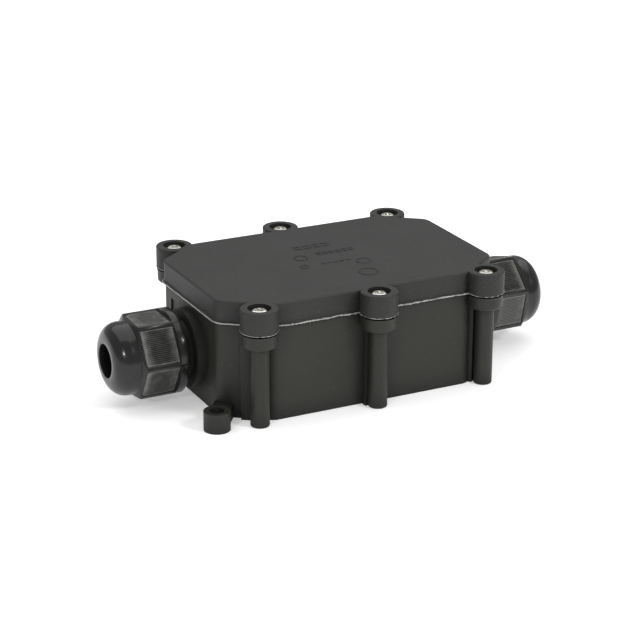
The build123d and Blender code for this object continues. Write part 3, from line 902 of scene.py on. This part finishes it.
def make_floor():
    only()
    bpy.ops.mesh.primitive_plane_add(size=8.0, location=(0, 0, 0))
    floor = bpy.context.object
    floor.name = "floor"
    material, tree, shader = new_material("pale_floor")
    shader.inputs["Base Color"].default_value = (0.9, 0.9, 0.9, 1.0)
    shader.inputs["Roughness"].default_value = 0.7
    shader.inputs["Emission Color"].default_value = (1.0, 1.0, 1.0, 1.0)
    shader.inputs["Emission Strength"].default_value = FLOOR_GLOW
    floor.data.materials.append(material)


def add_softbox(name, place, size, power):
    lamp = bpy.data.lights.new(name, "AREA")
    lamp.shape = "RECTANGLE"
    lamp.size, lamp.size_y = size
    lamp.energy = power
    box = bpy.data.objects.new(name, lamp)
    box.location = place
    box.rotation_euler = (Vector(AIM) - Vector(place)).to_track_quat("-Z", "Y").to_euler()
    bpy.context.scene.collection.objects.link(box)


def make_light():
    for softbox in SOFTBOXES:
        add_softbox(*softbox)
    world = bpy.data.worlds.new("studio")
    world.use_nodes = True
    world.node_tree.nodes["Background"].inputs["Color"].default_value = (1, 1, 1, 1)
    world.node_tree.nodes["Background"].inputs["Strength"].default_value = WORLD_STRENGTH
    bpy.context.scene.world = world
    bpy.context.scene.view_settings.view_transform = "Standard"


def make_camera():
    lens = bpy.data.cameras.new("camera")
    lens.sensor_width = 36.0
    lens.lens = CAMERA_LENS
    lens.clip_start = 0.05
    lens.clip_end = 20.0
    camera = bpy.data.objects.new("camera", lens)
    swing = Matrix.Rotation(radians(CAMERA_AZIMUTH), 4, "Z")
    tilt = Matrix.Rotation(radians(90 - CAMERA_ELEVATION), 4, "X")
    roll = Matrix.Rotation(radians(CAMERA_ROLL), 4, "Z")
    camera.matrix_world = Matrix.Translation(CAMERA_PLACE) @ swing @ tilt @ roll
    bpy.context.scene.collection.objects.link(camera)
    bpy.context.scene.camera = camera


# ---- put together ----------------------------------------------------------------------------
finish_cad_nodes()
rib_panel = make_rib_panel()
plain_nut = make_gland_nut()
for side, sign in SIDES.items():
    turn = NUT_TURN[side]
    nut = copy_of(plain_nut)
    nut.name = f"{side}_compression_nut"
    seat = Matrix.Translation((0, 0, NUT_INNER_END * MM))
    nut.matrix_world = on_gland(sign) @ Matrix.Rotation(radians(turn), 4, "Z") @ seat
    settle(nut)
    smooth(nut)
    dress(nut, NYLON, f"{side}_nut")
    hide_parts(f"{side}_gland_nut")
    dress(make_grip_ribs(f"{side}_grip_ribs", sign, turn, rib_panel), KNURL, f"{side}_nut")
    dress(make_spigot_thread(f"{side}_spigot_thread", sign), HOUSING, "base")
bpy.data.objects.remove(rib_panel)
bpy.data.objects.remove(plain_nut)

pan_screw = make_pan_screw()
for place in SCREW_PLACES:
    low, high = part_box(f"lid_screw_{place}")
    screw = copy_of(pan_screw)
    screw.name = f"pan_screw_{place}"
    screw.location = ((low.x + high.x) / 2, (low.y + high.y) / 2, 0)
    settle(screw)
    dress(screw, ZINC, f"screw_{place}")
    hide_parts(f"lid_screw_{place}")
bpy.data.objects.remove(pan_screw)

lip_line = lid_outline(-LIP_PROUD, LINE_STEP)
shadow_strip_path = lid_outline(SHADOW_STRIP_INSET, LINE_STEP)
lid_bead = make_line("lid_bead", lip_line, BEAD_Z, BEAD_RADIUS, sway=0.08, pinch=0.55, seed=11)
dress(lid_bead, FLASH, "lid_body")
# A thin dark strip in the rubber finish on the base under the lid's lip: painted shadow for the gap beneath
# the lip.
shadow_strip = make_line("shadow_strip", shadow_strip_path, SHADOW_STRIP_Z, SHADOW_STRIP_RADIUS, sway=0.02, pinch=0.2, seed=5)
dress(shadow_strip, RUBBER, "base")
dress(make_post_collars(), HOUSING, "base")
dress(make_boss_flash(), FLASH, "lid_body")
dress(make_lid_marks(), LID, "lid_body")

make_floor()
make_light()
make_camera()
